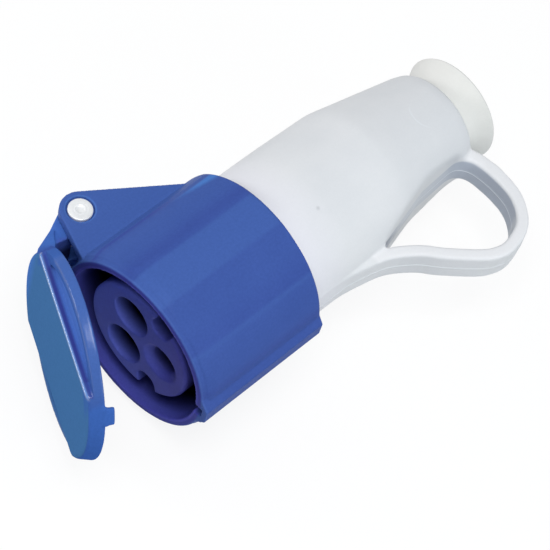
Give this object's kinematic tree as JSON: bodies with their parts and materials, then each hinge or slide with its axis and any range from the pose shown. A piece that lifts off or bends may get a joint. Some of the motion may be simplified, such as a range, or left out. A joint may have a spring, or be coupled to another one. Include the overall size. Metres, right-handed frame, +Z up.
{
  "type": "portable industrial connector",
  "caption": "Portable industrial power connector: blue collar with hinged lid, keyed contact carrier, grey body with loop handle and flared cable bush.",
  "frame": {"origin": "centre of the front rim of the collar, on the collar axis", "axes": "+X from the mating face along the axis to the cable end, +Y towards the lid hinge, +Z up with the part lying on its side"},
  "size_m": [0.2445, 0.1365, 0.09],
  "materials": {
    "collar_blue": "moulded polyamide, satin with soft shine",
    "lid_blue": "moulded polyamide, matt raised face and shiny ring wall",
    "carrier_blue": "moulded polyamide, matt dark blue",
    "body_grey": "moulded polyamide, light grey, fine satin",
    "bush_cream": "soft moulded elastomer, cream",
    "contact_brass": "turned brass",
    "bright_steel": "zinc plated or stainless steel",
    "pin_steel": "bright turned steel",
    "seal_black": "black seal rubber",
    "inner_black": "black glass filled plastic"
  },
  "bodies": {
    "base": {"collar": "collar_blue", "carrier": "carrier_blue", "back_plate": "inner_black", "contact_line_a": "contact_brass", "contact_line_b": "contact_brass", "contact_earth": "contact_brass", "contact_springs": "bright_steel", "terminal_screws": "bright_steel", "plate_screws": "bright_steel", "body_screws": "bright_steel", "seal_ring": "seal_black", "body": "body_grey", "clamp_base": "inner_black", "clamp_saddle": "bright_steel", "clamp_screws": "bright_steel", "bush": "bush_cream", "hinge_pin": "pin_steel", "lid_spring": "bright_steel"},
    "lid": {"lid": "lid_blue", "lid_gasket": "seal_black"}
  },
  "joints": [
    {"name": "lid_hinge", "type": "hinge", "parent": "base", "child": "lid", "pos_m": [0.0174, 0.0555, 0], "axis": [0, 0, -1], "range_deg": [-25.4, 94], "stiffness_Nm_per_rad": 0.05, "springref_deg": -25.4, "deforming": ["lid_spring"]}
  ]
}
